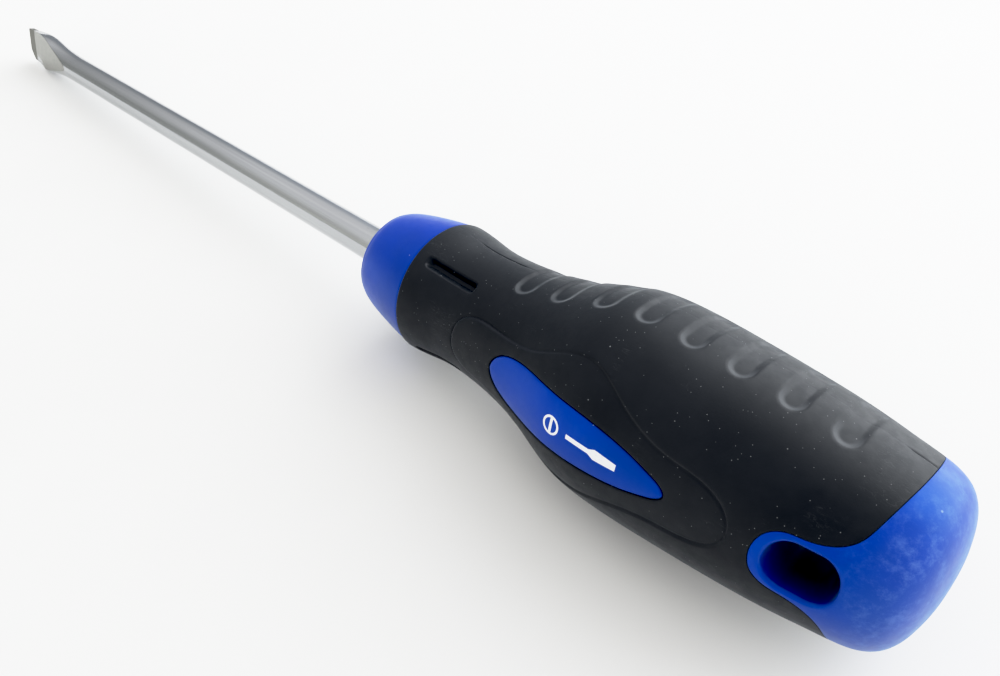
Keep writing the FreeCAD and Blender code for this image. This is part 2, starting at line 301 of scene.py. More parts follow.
def grip_surface(run, turn):
    station, radius = station_at(run), radius_at(run)
    # side panel, blended in across its outline
    depth = panel_depth(run, turn)
    inside = smooth(-0.30, 0.30, depth)
    result = radius * (1 - inside) + panel_radius(station) * inside
    # groove on the panel's outline, deepest at the front
    groove = 0.15 + 0.17 * (1 - smooth(38, 50, station)) + 0.05 * smooth(80, 86, station)
    result = result - groove * np.exp(-(depth / 0.23) ** 2)
    # ovals
    side = np.maximum(np.abs(radius * np.sin(turn)) - OVAL_STRAIGHT, 0)
    for centre in OVAL_STATIONS:
        oval = OVAL_HALF_W - np.hypot(station - centre, side)
        dip = OVAL_DEPTH * smooth(-0.35, 1.05, oval)
        result = result - np.where(radius * np.cos(turn) > 0, dip, 0)
    # slot
    around = radius * (turn - SLOT_TURN)
    slot = rounded_box_depth(station - SLOT_CENTRE, around, SLOT_HALF_L, SLOT_HALF_W, SLOT_CORNER)
    result = result - SLOT_DEPTH * smooth(-0.16, 0.9, slot)
    # parting line along the top
    return result - 0.13 * seam_strength(station) * np.exp(-(radius * turn / 0.15) ** 2)


def pad_surface(run, turn):
    """Slightly crowned, a little below the panel."""
    station = station_at(run)
    z = radius_at(run) * np.cos(turn)
    half = np.interp(station, [row[0] for row in PAD_OUTLINE], [row[1] for row in PAD_OUTLINE])
    crown = 0.10 * np.clip(1 - (z / np.maximum(half, 0.3)) ** 2, 0, 1)
    return panel_radius(station) - 0.10 + crown


def butt_surface(run, turn):
    return radius_at(run)


def core_surface(run, turn):
    return core_radius(station_at(run))


def seat_surface(run, turn):
    return core_surface(run, turn) - SEAT


def place(station, turn, radius):
    """Points of the -Y, +Z quarter."""
    station, turn, radius = np.broadcast_arrays(station, turn, radius)
    return np.stack([HANDLE_X + station, -radius * np.sin(turn), radius * np.cos(turn)], 1)


# ------------------------------------------------------------------ flat triangulation
def inside_polygon(points, polygon):
    x, y = points[:, 0], points[:, 1]
    inside = np.zeros(len(x), bool)
    for (start_x, start_y), (end_x, end_y) in zip(polygon, np.roll(polygon, -1, axis=0)):
        if start_y == end_y:
            continue
        crossing = (end_x - start_x) * (y - start_y) / (end_y - start_y) + start_x
        inside ^= ((start_y > y) != (end_y > y)) & (x < crossing)
    return inside


def edge_distance(points, polygon):
    x, y = points[:, 0], points[:, 1]
    best = np.full(len(x), 1e9)
    for (start_x, start_y), (end_x, end_y) in zip(polygon, np.roll(polygon, -1, axis=0)):
        edge_x, edge_y = end_x - start_x, end_y - start_y
        square = edge_x * edge_x + edge_y * edge_y
        if square < 1e-14:
            continue
        part = np.clip(((x - start_x) * edge_x + (y - start_y) * edge_y) / square, 0, 1)
        away = np.hypot(x - start_x - part * edge_x, y - start_y - part * edge_y)
        best = np.minimum(best, away)
    return best


def well_inside(points, polygon, margin):
    """Mask of points inside the polygon and more than margin from its edge."""
    mask = inside_polygon(points, polygon)
    mask[mask] = edge_distance(points[mask], polygon) > margin
    return mask


def fill_outline(points, count, stretch):
    """Triangles inside the outline made by the first count points.
    Points are stretched to lie flat; any the triangulation adds go on the end."""
    flat = points * stretch
    edges = [(i, (i + 1) % count) for i in range(count)]
    corners = [Vector(point) for point in flat.tolist()]
    spots, _, faces, origins = delaunay_2d_cdt(corners, edges, [], 0, 1e-6, True)[:4]
    ids = [origin[0] if origin else -1 for origin in origins]
    added = [i for i, origin in enumerate(ids) if origin < 0]
    if added:
        extra = np.array([[spots[i].x / stretch[0], spots[i].y / stretch[1]] for i in added])
        for k, i in enumerate(added):
            ids[i] = len(points) + k
        points = np.concatenate([points, extra])
    triangles = np.array([[ids[corner] for corner in face] for face in faces], int)
    centres = points[triangles].mean(1) * stretch
    return points, triangles[inside_polygon(centres, flat[:count])]


def unrolled(points):
    return np.stack([points[:, 0], points[:, 1] * FLAT_RADIUS, np.zeros(len(points))], 1)


def detail_points(rings, polygon):
    """Ring points inside the polygon, thinned where they sit on top of each other."""
    points = np.concatenate(rings)
    points = points[well_inside(points * FLATTEN, polygon, 0.10)]
    flat = unrolled(points)
    tree = point_tree(flat)
    drop = np.zeros(len(points), bool)
    for i, point in enumerate(flat):
        if not drop[i]:
            for _, j, _ in tree.find_range(point, 0.07):
                if j > i:
                    drop[j] = True
    return points[~drop]


def triangulate(loop, rings, spacing, margin):
    """Points and triangles inside a closed loop of (run, turn), with rings of detail points
    and a staggered background grid."""
    polygon = loop * FLATTEN
    rows = []
    first, last = loop[:, 0].min(), loop[:, 0].max()
    for i, run in enumerate(np.arange(first + spacing * 0.5, last, spacing * 0.87)):
        count = max(int(round(float(radius_at(run)) * QUARTER / spacing)), 3)
        steps = np.arange(count + 1) if i % 2 == 0 else np.arange(count) + 0.5
        turn = steps * (QUARTER / count)
        rows.append(np.stack([np.full(len(turn), run), turn], 1))
    grid = np.concatenate(rows)
    grid = grid[well_inside(grid * FLATTEN, polygon, spacing * margin)]
    parts = [loop]
    if rings:
        details = detail_points(rings, polygon)
        tree = point_tree(unrolled(details))
        far = [tree.find(point)[2] > spacing * 0.6 for point in unrolled(grid)]
        grid = grid[np.array(far)]
        parts.append(details)
    points, triangles = fill_outline(np.concatenate(parts + [grid]), len(loop), FLATTEN)
    # same winding everywhere
    one, two, three = (points[triangles[:, k]] for k in range(3))
    area = ((two[:, 0] - one[:, 0]) * (three[:, 1] - one[:, 1])
            - (two[:, 1] - one[:, 1]) * (three[:, 0] - one[:, 0]))
    triangles[area < 0] = triangles[area < 0][:, ::-1]
    return points, triangles


# ------------------------------------------------------------------ mesh assembly
class Patch:
    """Collects points (mm) and faces."""
    def __init__(self):
        self.points = []
        self.faces = []
        self.count = 0

    def add(self, points, faces):
        self.points.append(np.asarray(points, float))
        self.faces += [tuple(i + self.count for i in face) for face in faces]
        self.count += len(points)

    def grid(self, rows, flip=False):
        """Quads between equally long rows of points."""
        width = len(rows[0])
        faces = []
        for i in range(len(rows) - 1):
            for j in range(width - 1):
                corner = i * width + j
                quad = (corner, corner + 1, corner + width + 1, corner + width)
                faces.append(quad[::-1] if flip else quad)
        self.add(np.concatenate(rows), faces)

    def revolve(self, stations_radii, turns, flip=False):
        self.grid([place(station, turns, radius) for station, radius in stations_radii], flip)

    def wall(self, curve, top, surface):
        """Wall under a curve, from a surface below up to the top points."""
        run, turn = curve[:, 0], curve[:, 1]
        low = place(station_at(run), turn, surface(run, turn))
        self.grid([low, (low + top) / 2, top])

    def fillet(self, curve, side, edge, surface, steps=5):
        """Rounded edge from the wall at the curve to the surface; side is 1 for left of the
        curve, -1 for right. Returns the curve on the surface and the wall's top points."""
        rows = []
        for k in range(steps + 1):
            angle = QUARTER * k / steps
            inset = offset(curve, side * edge * (1 - math.cos(angle)))
            run, turn = inset[:, 0], inset[:, 1]
            radius = surface(run, turn) - edge * (1 - math.sin(angle))
            rows.append(place(station_at(run), turn, radius))
        self.grid(rows, flip=side < 0)
        return inset, rows[0]

    def cover(self, loop, surface, spacing, rings=(), margin=0.45, flip=False):
        """Triangulated surface inside a closed loop."""
        points, triangles = triangulate(loop, rings, spacing, margin)
        run, turn = points[:, 0], points[:, 1]
        self.add(place(station_at(run), turn, surface(run, turn)),
                 triangles[:, ::-1] if flip else triangles)


def build_from_quarter(name, patch, material):
    """Mirrors a quarter in Y and Z into the whole piece."""
    quarter = np.concatenate(patch.points)
    points, faces = [], []
    for k, (side, top) in enumerate(((1, 1), (-1, 1), (1, -1), (-1, -1))):
        points.append(quarter * [1, side, top])
        for face in patch.faces:
            face = tuple(i + k * len(quarter) for i in face)
            faces.append(face[::-1] if side * top < 0 else face)
    return build_solid(name, np.concatenate(points), faces, material, sharp_degrees=40.0)


def weld(points, faces):
    """Merges points on a fine lattice and drops collapsed and repeated faces."""
    keys = np.round(points / 0.0005).astype(np.int64)
    _, first, inverse = np.unique(keys, axis=0, return_index=True, return_inverse=True)
    inverse = inverse.reshape(-1)
    kept, seen = [], set()
    for face in faces:
        face = [int(inverse[i]) for i in face]
        face = [corner for i, corner in enumerate(face) if corner != face[i - 1]]
        key = tuple(sorted(face))
        if len(face) < 3 or len(set(face)) != len(face) or key in seen:
            continue
        seen.add(key)
        kept.append(face)
    return points[first], kept


def build_solid(name, points, faces, material, sharp_degrees):
    """Welds, rolls into place and links an object."""
    points, faces = weld(points, faces)
    x, y, z = points.T
    cosine, sine = math.cos(ROLL), math.sin(ROLL)
    points = np.stack([x, y * cosine - z * sine, y * sine + z * cosine], 1)
    mesh = bpy.data.meshes.new(name)
    mesh.from_pydata((points * MM).tolist(), [], faces)
    mesh.validate()
    mesh.update()
    edit = bmesh.new()
    edit.from_mesh(mesh)
    bmesh.ops.recalc_face_normals(edit, faces=edit.faces[:])
    edit.to_mesh(mesh)
    edit.free()
    mesh.polygons.foreach_set("use_smooth", [True] * len(mesh.polygons))
    mesh.set_sharp_from_angle(angle=math.radians(sharp_degrees))
    return link_mesh(name, mesh, material)


def link_mesh(name, mesh, material):
    made = bpy.data.objects.new(name, mesh)
    bpy.context.scene.collection.objects.link(made)
    mesh.materials.append(material)
    return made


# ------------------------------------------------------------------ edges shared by grip and core
def hole_outline():
    """Upper half of the hang hole, front to back, as a curve."""
    points = []
    for i in range(181):
        angle = math.pi * (1 - i / 180)
        shift = (HOLE_HALF_L - HOLE_CORNER) * ((i > 90) - (i < 90))
        lift = (HOLE_HALF_W - HOLE_CORNER) * math.sin(angle) ** 0.35
        points.append((HOLE_CENTRE + shift + HOLE_CORNER * math.cos(angle),
                       lift + HOLE_CORNER * math.sin(angle)))
    points = np.array(points)
    points[0, 1] = points[-1, 1] = 0.0
    run = run_at(points[:, 0])
    turn = np.arccos(np.clip(points[:, 1] / radius_at(run), -1, 1))
    curve = resample(np.stack([run, turn], 1), 0.38)
    curve[0, 1] = curve[-1, 1] = QUARTER
    return curve


def circle(run, segments):
    """Quarter circle round the handle, from the top to the side."""
    return np.stack([np.full(segments + 1, run), np.linspace(0, QUARTER, segments + 1)], 1)


def grip_loop(collar, pad, butt, side_spacing, top_spacing):
    """Closes collar, pad and butt edges into the grip's outline."""
    return np.concatenate([
        collar, straight(collar[-1, 0], pad[0, 0], QUARTER, side_spacing),
        pad, straight(pad[-1, 0], butt[0, 0], QUARTER, side_spacing),
        butt, straight(butt[-1, 0], collar[0, 0], 0.0, top_spacing)])


GRIP_RUN = float(run_at(GRIP_START))
collar_curve = circle(GRIP_RUN, 64)
pad_curve = side_curve(PAD_OUTLINE, 0.33)
butt_curve = side_curve(BUTT_OUTLINE, 0.38, open_end=True)
hole_curve = hole_outline()


# ------------------------------------------------------------------ soft grip
def panel_rings():
    return [resample(offset(panel_curve[::8], distance), 0.42)
            for distance in (-0.62, -0.45, -0.3, -0.17, -0.05, 0.07, 0.19, 0.32, 0.47, 0.64)]


def oval_rings():
    angle = np.linspace(0, math.pi, 60)
    rings = []
    for centre in OVAL_STATIONS:
        for depth in (-0.5, -0.35, -0.2, -0.05, 0.12, 0.32, 0.55, 0.78, 0.95, 1.1, 1.4):
            radius = OVAL_HALF_W - depth
            side = np.concatenate([np.linspace(0, OVAL_STRAIGHT, 12)[:-1],
                                   OVAL_STRAIGHT + radius * np.sin(angle),
                                   np.linspace(OVAL_STRAIGHT, 0, 12)[1:]])
            station = np.concatenate([np.full(11, centre - radius),
                                      centre - radius * np.cos(angle),
                                      np.full(11, centre + radius)])
            run = run_at(station)
            turn = np.arcsin(np.clip(side / radius_at(run), -1, 1))
            rings.append(resample(np.stack([run, turn], 1), 0.42))
    return rings


def slot_rings():
    rings = []
    for depth in (-0.28, -0.16, -0.04, 0.1, 0.25, 0.42, 0.6, 0.78, 0.95, 1.15):
        half_l = SLOT_HALF_L - depth
        half_w = max(SLOT_HALF_W - depth, 0.05)
        corner = min(max(SLOT_CORNER - max(depth, 0) * 0.9, 0.02), half_w)
        ring = []
        for k, (back, up) in enumerate(((1, 1), (-1, 1), (-1, -1), (1, -1))):
            for i in range(9):
                angle = QUARTER * (k + i / 8)
                station = SLOT_CENTRE + back * (half_l - corner) + corner * math.cos(angle)
                ring.append((station, up * (half_w - corner) + corner * math.sin(angle)))
        ring.append(ring[0])
        ring = np.array(ring)
        run = run_at(ring[:, 0])
        turn = SLOT_TURN + ring[:, 1] / radius_at(run)
        rings.append(resample(np.stack([run, turn], 1), 0.34))
    return rings


def seam_lines():
    run = np.arange(GRIP_RUN + 0.5, butt_curve[-1, 0] - 0.4, 0.5)
    return [np.stack([run, side / radius_at(run)], 1) for side in (0.11, 0.24, 0.42)]


def build_grip(material):
    patch = Patch()
    pad = offset(pad_curve, -GAP / 2)
    butt = offset(butt_curve, -GAP / 4)
    edges = ((collar_curve, GRIP_EDGE), (pad, GRIP_EDGE), (butt, BUTT_EDGE))
    insets, tops = zip(*[patch.fillet(curve, -1, edge, grip_surface) for curve, edge in edges])
    rings = panel_rings() + oval_rings() + slot_rings() + seam_lines()
    patch.cover(grip_loop(*insets, 0.55, 0.5), grip_surface, FINE, rings)
    # inner face, hidden against the core
    patch.cover(grip_loop(collar_curve, pad, butt, 0.55, 0.5), core_surface, COARSE,
                margin=HIDDEN_MARGIN, flip=True)
    for (curve, _), top in zip(edges, tops):
        patch.wall(curve, top, core_surface)
    return build_from_quarter("grip_skin", patch, material)


# ------------------------------------------------------------------ hard core with collar, pads and butt
def collar_stations():
    """(station, radius) from the bore's mouth, over the front face and back to the grip."""
    front, edge = COLLAR_PROFILE[0][1], 0.9
    mouth = BORE_RADIUS + BORE_CHAMFER
    rows = [(max(mouth - radius, 0.0), radius) for radius in np.linspace(BORE_RADIUS, mouth, 4)]
    rows += [(0.0, radius) for radius in np.linspace(5.2, front - edge - 0.2, 6)]
    # rounded front edge, ending along the collar's slope
    slope = math.atan2(COLLAR_PROFILE[1][1] - front, COLLAR_PROFILE[1][0])
    for k in range(9):
        angle = (QUARTER - slope) * k / 8
        rows.append((edge * (1 - math.cos(angle)), front - edge + edge * math.sin(angle)))
    # outside, eased into the rounded edge and dipping just before the grip
    start = rows[-1][0] + 0.15
    excess = max(float(collar_radius(start)) - (rows[-1][1] + 0.02), 0)
    for station in np.concatenate([np.linspace(start, GRIP_START - 0.55, 46),
                                   [GRIP_START - 0.35, GRIP_START - 0.15, GRIP_START - 0.06]]):
        radius = float(collar_radius(station)) - excess * math.exp(-(station - start) / 0.6)
        if station > GRIP_START - 0.5:
            radius -= 0.10 * ((station - GRIP_START + 0.5) / 0.5) ** 2
        rows.append((station, radius))
    # step down under the grip's edge
    rows.append((GRIP_START - 0.03, float(collar_radius(GRIP_START)) - 0.30))
    rows.append((GRIP_START, float(core_radius(GRIP_START) - SEAT)))
    return rows


def add_pad(patch, pad):
    inset, top = patch.fillet(pad, 1, PAD_EDGE, pad_surface)
    loop = np.concatenate([inset, straight(inset[-1, 0], inset[0, 0], QUARTER, 0.6)])
    patch.cover(loop, pad_surface, FINE)
    patch.wall(pad, top, seat_surface)


def add_butt(patch, butt):
    inset, top = patch.fillet(butt, 1, BUTT_EDGE, butt_surface)
    hole_inset, hole_top = patch.fillet(hole_curve, -1, HOLE_EDGE, butt_surface, steps=7)
    # the outside stops at a ring, and the rounded end behind it is revolved
    ring_run = float(run_at(115.8))
    ring = circle(ring_run, 36)
    loop = np.concatenate([
        inset, straight(inset[-1, 0], ring_run, 0.0, 0.5), ring,
        straight(ring_run, hole_inset[-1, 0], QUARTER, 0.5), hole_inset[::-1],
        straight(hole_inset[0, 0], inset[0, 0], QUARTER, 0.5)])
    patch.cover(loop, butt_surface, 0.6)
    patch.revolve([(station_at(run), radius_at(run)) for run in np.linspace(ring_run, RUN_END, 19)],
                  ring[:, 1])
    patch.wall(butt, top, seat_surface)
    # hang hole wall, straight through to the middle
    patch.grid([hole_top * [1, 1 - part, 1] for part in np.linspace(0, 1, 9)])


def build_core(material):
    patch = Patch()
    pad = offset(pad_curve, GAP / 2)
    butt = offset(butt_curve, GAP / 4)
    turns = collar_curve[:, 1]
    add_pad(patch, pad)
    add_butt(patch, butt)
    patch.revolve(collar_stations(), turns)
    # hidden face under the grip
    patch.cover(grip_loop(collar_curve, pad, butt, 2.0, 2.0), seat_surface, COARSE,
                margin=HIDDEN_MARGIN)
    # bore for the bar, with a flat end
    bore_end = BAR_END - HANDLE_X + 0.5
    bore = [(station, BORE_RADIUS) for station in (BORE_CHAMFER, 3, 10, 20, 40, 60, bore_end)]
    patch.revolve(bore + [(bore_end, 2.0), (bore_end, 0.0)], turns, flip=True)
    return build_from_quarter("core_body", patch, material)


# ------------------------------------------------------------------ steel blade and bar
# x, half width (Z), half thickness (Y), superellipse power
FLARE = [
    (-1, 4.9, 3.6, 6), (4.5, 5.15, 3.7, 5), (9.5, 5.45, 3.85, 3.8), (14, 5.65, 3.95, 3),
    (19, 5.35, 4, 2.5), (23.5, 4.85, 4, 2.2), (28, 4.45, 4, 2.05), (32, 4.2, 4, 2),
    (36, 4.05, 4, 2), (40, 4, 4, 2), (41, 4, 4, 2)]
WIDEST = 5.65
BAR_RADIUS, BAR_START = 4.0, 40.0
TIP_HALF, TIP_FLAT = 0.8, 4.4         # half thickness and length of the parallel tip
WEDGE_RISE, WEDGE_END = 3.26, 36.0    # gain in half thickness from there to the wedge's end
FLAT_SEGMENTS, ARC_SEGMENTS = 26, 72
WORN_ARC = np.array([(0.0, -1.5), (2.2, -4.2), (7.0, -5.8)])  # (x, z) on the worn corner
HIGH_CORNER, HIGH_SLOPE = 4.6, 0.6    # z where the other corner starts, and how fast it cuts
WEAR_REACH = 14.0                     # wear fades out at this x
TIP_BREAK, TIP_BREAK_LENGTH = 0.09, 0.12
END_CHAMFER = 0.8
WING = [(258, 3.6), (261, 6.5), (271, 6.5), (274, 3.6)]       # (x, z)
WING_HALF = 1.5

flare_width, flare_thickness, flare_power = (
    natural_cubic([row[0] for row in FLARE], [row[k] for row in FLARE]) for k in (1, 2, 3))


def blade_section(x):
    """Closed outline (y, z) of the steel; the ground flats are clipped to the wedge."""
    width = thick = BAR_RADIUS
    power = 2.0
    if x < BAR_START:
        width = min(float(flare_width(x)), WIDEST)
        thick = min(float(flare_thickness(x)), BAR_RADIUS)
        power = float(flare_power(x))
    half = TIP_HALF
    if x > TIP_FLAT:
        half += (x - TIP_FLAT) * WEDGE_RISE / (WEDGE_END - TIP_FLAT)
    cut = min(half, thick)
    flat = width * max(1 - (cut / thick) ** power, 0.0) ** (1 / power) if cut < thick else 0.0
    # arc from (cut, flat) over (0, width) to (-cut, flat)
    angle = np.linspace(0, QUARTER, 500)
    y = thick * np.sin(angle) ** (2 / power)
    z = width * np.cos(angle) ** (2 / power)
    kept = y <= cut
    y, z = np.append(y[kept], cut), np.append(z[kept], flat)
    y, z = np.concatenate([y[::-1], -y[1:]]), np.concatenate([z[::-1], z[1:]])
    length = np.concatenate([[0], np.cumsum(np.hypot(np.diff(y), np.diff(z)))])
    spots = np.linspace(0, length[-1], ARC_SEGMENTS + 1)
    y, z = np.interp(spots, length, y), np.interp(spots, length, z)
    heights = np.linspace(-flat, flat, FLAT_SEGMENTS + 1)
    outline = [(cut, height) for height in heights[:-1]] + list(zip(y[:-1], z[:-1]))
    outline += [(-cut, height) for height in heights[::-1][:-1]] + list(zip(-y[:-1], -z[:-1]))
    return np.array(outline)


def worn_x(z):
    """X of the circle through WORN_ARC at height z."""
    first, others = WORN_ARC[0], WORN_ARC[1:]
    centre = np.linalg.solve(2 * (others - first), (others ** 2).sum(1) - (first ** 2).sum())
    radius = math.hypot(*(first - centre))
    reach = np.sqrt(np.maximum(radius * radius - (z - centre[1]) ** 2, 0))
    return np.maximum(centre[0] - reach, 0.0)


def wear_tip(points):
    """Rounds the lower corner of the working edge and trims the upper one."""
    x, z = points[:, 0], points[:, 2]
    cut = np.zeros(len(points))
    low, high, near = z < WORN_ARC[0, 1], z > HIGH_CORNER, x < WEAR_REACH
    cut[low] = worn_x(z[low])
    cut[high] = (z[high] - HIGH_CORNER) * HIGH_SLOPE
    points[near, 0] = x[near] * (1 - cut[near] / WEAR_REACH) + cut[near]


def build_blade(material):
    stations = np.concatenate([
        [0.0, 0.04, 0.12, 0.3, 0.6], np.arange(0.9, 4.2, 0.3), [4.3, TIP_FLAT, 4.5, 4.7],
        np.arange(5.0, 41.0, 0.3), [41.0], np.arange(45.0, BAR_END - 1.0, 6.0),
        [BAR_END - END_CHAMFER, BAR_END - END_CHAMFER / 2, BAR_END]])
    rows = []
    for x in stations:
        section = blade_section(x)
        if x < TIP_BREAK_LENGTH:
            size = np.abs(section).max(0)
            section = section * ((size - TIP_BREAK * (1 - x / TIP_BREAK_LENGTH) ** 0.5) / size)
        back = max(x - BAR_END + END_CHAMFER, 0.0) / END_CHAMFER
        section = section * (1 - 0.2 * back)
        rows.append(np.concatenate([np.full((len(section), 1), x), section], 1))
    width = len(rows[0])
    points = np.concatenate(rows)
    wear_tip(points)
    patch = Patch()
    last = (len(rows) - 1) * width
    ring = [(j, (j + 1) % width) for j in range(width)]
    faces = [(i + j, i + k, i + k + width, i + j + width)
             for i in range(0, last, width) for j, k in ring]
    # a fan closes each end
    centre = len(points)
    points = np.concatenate([points, [[stations[-1], 0, 0], [stations[0], 0, 0]]])
    faces += [(last + j, last + k, centre) for j, k in ring]
    faces += [(k, j, centre + 1) for j, k in ring]
    patch.add(points, faces)
    # flat wings above and below the bar, inside the handle
    for side in (1, -1):
        walls = [(i, 4 + i, 4 + (i + 1) % 4, (i + 1) % 4) for i in range(4)]
        patch.add([[x, y, z * side] for y in (-WING_HALF, WING_HALF) for x, z in WING],
                  [(0, 1, 2, 3), (7, 6, 5, 4)] + walls)
    return build_solid("steel_blade", np.concatenate(patch.points), patch.faces, material,
                       sharp_degrees=7.5)


# ------------------------------------------------------------------ marks printed on the pads
SCREW_STATION, SCREW_OUTER, SCREW_INNER, SCREW_SEGMENTS = 60.2, 1.75, 1.33, 48
SCREW_SLOT = (0.28, 1.36)             # half width, half height
# Printed blade, upper half: (station, height)
PRINTED_BLADE = [(63.6, 0.42), (68.2, 0.42), (69.3, 0.95), (71.2, 0.80), (73.4, 0.62)]
PRINT_STEP = 0.3
PRINT_TOP, PRINT_BOTTOM = 0.012, -0.03  # heights above the pad


def pad_points(points, lift, side):
    """Flat (station, height) points laid on the pad; side is 1 for -Y, -1 for +Y."""
    run = run_at(points[:, 0])
    turn = np.arccos(np.clip(points[:, 1] / radius_at(run), -1, 1))
    return place(station_at(run), turn, pad_surface(run, turn) + lift) * [1, side, 1]


def ring_mark():
    """Points, triangles and edge loops of the screw head's rim."""
    count = SCREW_SEGMENTS
    points, triangles = [], []
    for radius in (SCREW_OUTER, SCREW_INNER):
        for i in range(count):
            angle = 2 * math.pi * i / count
            points.append((SCREW_STATION + radius * math.cos(angle), radius * math.sin(angle)))
    for i in range(count):
        j = (i + 1) % count
        triangles += [(i, j, count + j), (i, count + j, count + i)]
    return np.array(points), triangles, [range(count), range(2 * count - 1, count - 1, -1)]


def polygon_mark(corners):
    """Points, triangles and edge loop of a filled polygon."""
    outline = []
    for (start_x, start_y), (end_x, end_y) in zip(corners, corners[1:] + corners[:1]):
        run_x, run_y = end_x - start_x, end_y - start_y
        count = max(int(math.hypot(run_x, run_y) / PRINT_STEP), 1)
        outline += [(start_x + run_x * i / count, start_y + run_y * i / count)
                    for i in range(count)]
    outline = np.array(outline)
    low, high = outline.min(0), outline.max(0)
    grid = np.meshgrid(*[np.arange(low[k], high[k], PRINT_STEP) for k in (0, 1)])
    grid = np.stack([axis.ravel() for axis in grid], 1)
    grid = grid[well_inside(grid, outline, 0.12)]
    count = len(outline)
    points, triangles = fill_outline(np.concatenate([outline, grid]), count, [1, 1])
    return points, triangles.tolist(), [range(count)]


def build_marks(material):
    half_w, half_h = SCREW_SLOT
    left, right = SCREW_STATION - half_w, SCREW_STATION + half_w
    slot = [(left, -half_h), (right, -half_h), (right, half_h), (left, half_h)]
    blade_outline = mirrored(PRINTED_BLADE) + PRINTED_BLADE[::-1]
    parts = [ring_mark(), polygon_mark(slot), polygon_mark(blade_outline)]
    patch = Patch()
    for side in (1, -1):
        for points, triangles, loops in parts:
            count = len(points)
            faces = []
            for face in triangles:
                faces += [tuple(face), tuple(count + i for i in reversed(face))]
            for loop in map(list, loops):
                faces += [(i, j, count + j, count + i) for i, j in zip(loop, loop[1:] + loop[:1])]
            layers = [pad_points(points, lift, side) for lift in (PRINT_TOP, PRINT_BOTTOM)]
            patch.add(np.concatenate(layers), faces)
    return build_solid("pad_print", np.concatenate(patch.points), patch.faces, material,
                       sharp_degrees=60)


# ------------------------------------------------------------------ node helpers
class Wire:
    """A node output; arithmetic on it adds Math nodes."""
    def __init__(self, graph, socket):
        self.graph = graph
        self.socket = socket

    def other(self, name):
        """Another output of the same node."""
        return Wire(self.graph, self.socket.node.outputs[name])

    def __add__(self, value):
        return self.graph.math("ADD", self, value)

    def __radd__(self, value):
        return self.graph.math("ADD", value, self)

    def __sub__(self, value):
        return self.graph.math("SUBTRACT", self, value)

    def __rsub__(self, value):
        return self.graph.math("SUBTRACT", value, self)

    def __mul__(self, value):
        return self.graph.math("MULTIPLY", self, value)

    def __truediv__(self, value):
        return self.graph.math("DIVIDE", self, value)

    def __abs__(self):
        return self.graph.math("ABSOLUTE", self)

    def step(self, over, to=(0.0, 1.0)):
        """Smooth step between two values."""
        inputs = {"Value": self, "From Min": over[0], "From Max": over[1],
                  "To Min": to[0], "To Max": to[1]}
        return self.graph.node("ShaderNodeMapRange", inputs, interpolation_type="SMOOTHSTEP")


class Graph:
    """Fills a node tree. Inputs are plain values or Wires."""
    def __init__(self, tree):
        self.tree = tree
        tree.nodes.clear()

    def node(self, kind, inputs, output=0, **settings):
        made = self.tree.nodes.new(kind)
        for key, value in settings.items():
            setattr(made, key, value)
        for key, value in inputs.items():
            socket = made.inputs[key]
            if isinstance(value, Wire):
                self.tree.links.new(value.socket, socket)
            else:
                opaque = socket.type == "RGBA" and len(value) == 3
                socket.default_value = (*value, 1.0) if opaque else value
        return Wire(self, made.outputs[output])

    def finish(self, kind, shader):
        output = self.tree.nodes.new(kind)
        self.tree.links.new(shader.socket, output.inputs[0])

    def math(self, operation, first, second=None, clamp=False):
        inputs = {0: first} if second is None else {0: first, 1: second}
        return self.node("ShaderNodeMath", inputs, operation=operation, use_clamp=clamp)

    def mix(self, mask, off, on, amount=None):
        """Colour off where the mask is 0, on where mask times amount is 1."""
        if amount is not None:
            mask = mask * amount
        return self.node("ShaderNodeMix", {0: mask, 6: off, 7: on}, output=2, data_type="RGBA")

    def split(self, vector):
        x = self.node("ShaderNodeSeparateXYZ", {0: vector})
        return x, x.other("Y"), x.other("Z")


class Material(Graph):
    """Material graph in object coordinates; pattern frequencies are per millimetre."""
    def __init__(self, name):
        self.material = bpy.data.materials.new(name)
        self.material.use_nodes = True
        super().__init__(self.material.node_tree)
        self.coords = self.node("ShaderNodeTexCoord", {}, output="Object")

    def surface(self, inputs):
        """Ends the graph in a Principled shader and returns the material."""
        shader = self.node("ShaderNodeBsdfPrincipled", inputs)
        self.finish("ShaderNodeOutputMaterial", shader)
        return self.material

    def mapping(self, frequency, offset, rotation=(0, 0, 0)):
        return self.node("ShaderNodeMapping", {
            "Vector": self.coords, "Scale": [1000.0 * value for value in frequency],
            "Location": offset, "Rotation": rotation})

    def noise(self, frequency, detail=3.0, rough=0.55, distort=0.0, offset=(0, 0, 0),
              rotation=(0, 0, 0)):
        if not isinstance(frequency, tuple):
            frequency = (frequency,) * 3
        return self.node("ShaderNodeTexNoise", {
            "Vector": self.mapping(frequency, offset, rotation), "Scale": 1.0,
            "Detail": detail, "Roughness": rough, "Distortion": distort})

    def hairlines(self, noise, sharpness):
        """Thin lines where the noise crosses its middle value."""
        return self.math("SUBTRACT", 1.0, abs(noise - 0.5) * sharpness, clamp=True)

    def specks(self, cell, size, share, offset=(0, 0, 0), stretch=(1, 1, 1)):
        """Dots of this size in a share of the cells (mm)."""
        frequency = [1.0 / cell * value for value in stretch]
        distance = self.node("ShaderNodeTexVoronoi", {
            "Vector": self.mapping(frequency, offset), "Scale": 1.0}, output="Distance")
        chance = self.node("ShaderNodeSeparateColor", {0: distance.other("Color")})
        dot = distance.step(over=(size * 0.5 / cell, size / cell), to=(1.0, 0.0))
        return dot * self.math("LESS_THAN", chance, share)

    def bump(self, height, strength, distance):
        return self.node("ShaderNodeBump", {
            "Strength": strength, "Distance": distance, "Height": height})


def sideways(y, z):
    """Y in the unrolled tool, from object coordinates."""
    return y * math.cos(ROLL) + z * math.sin(ROLL)


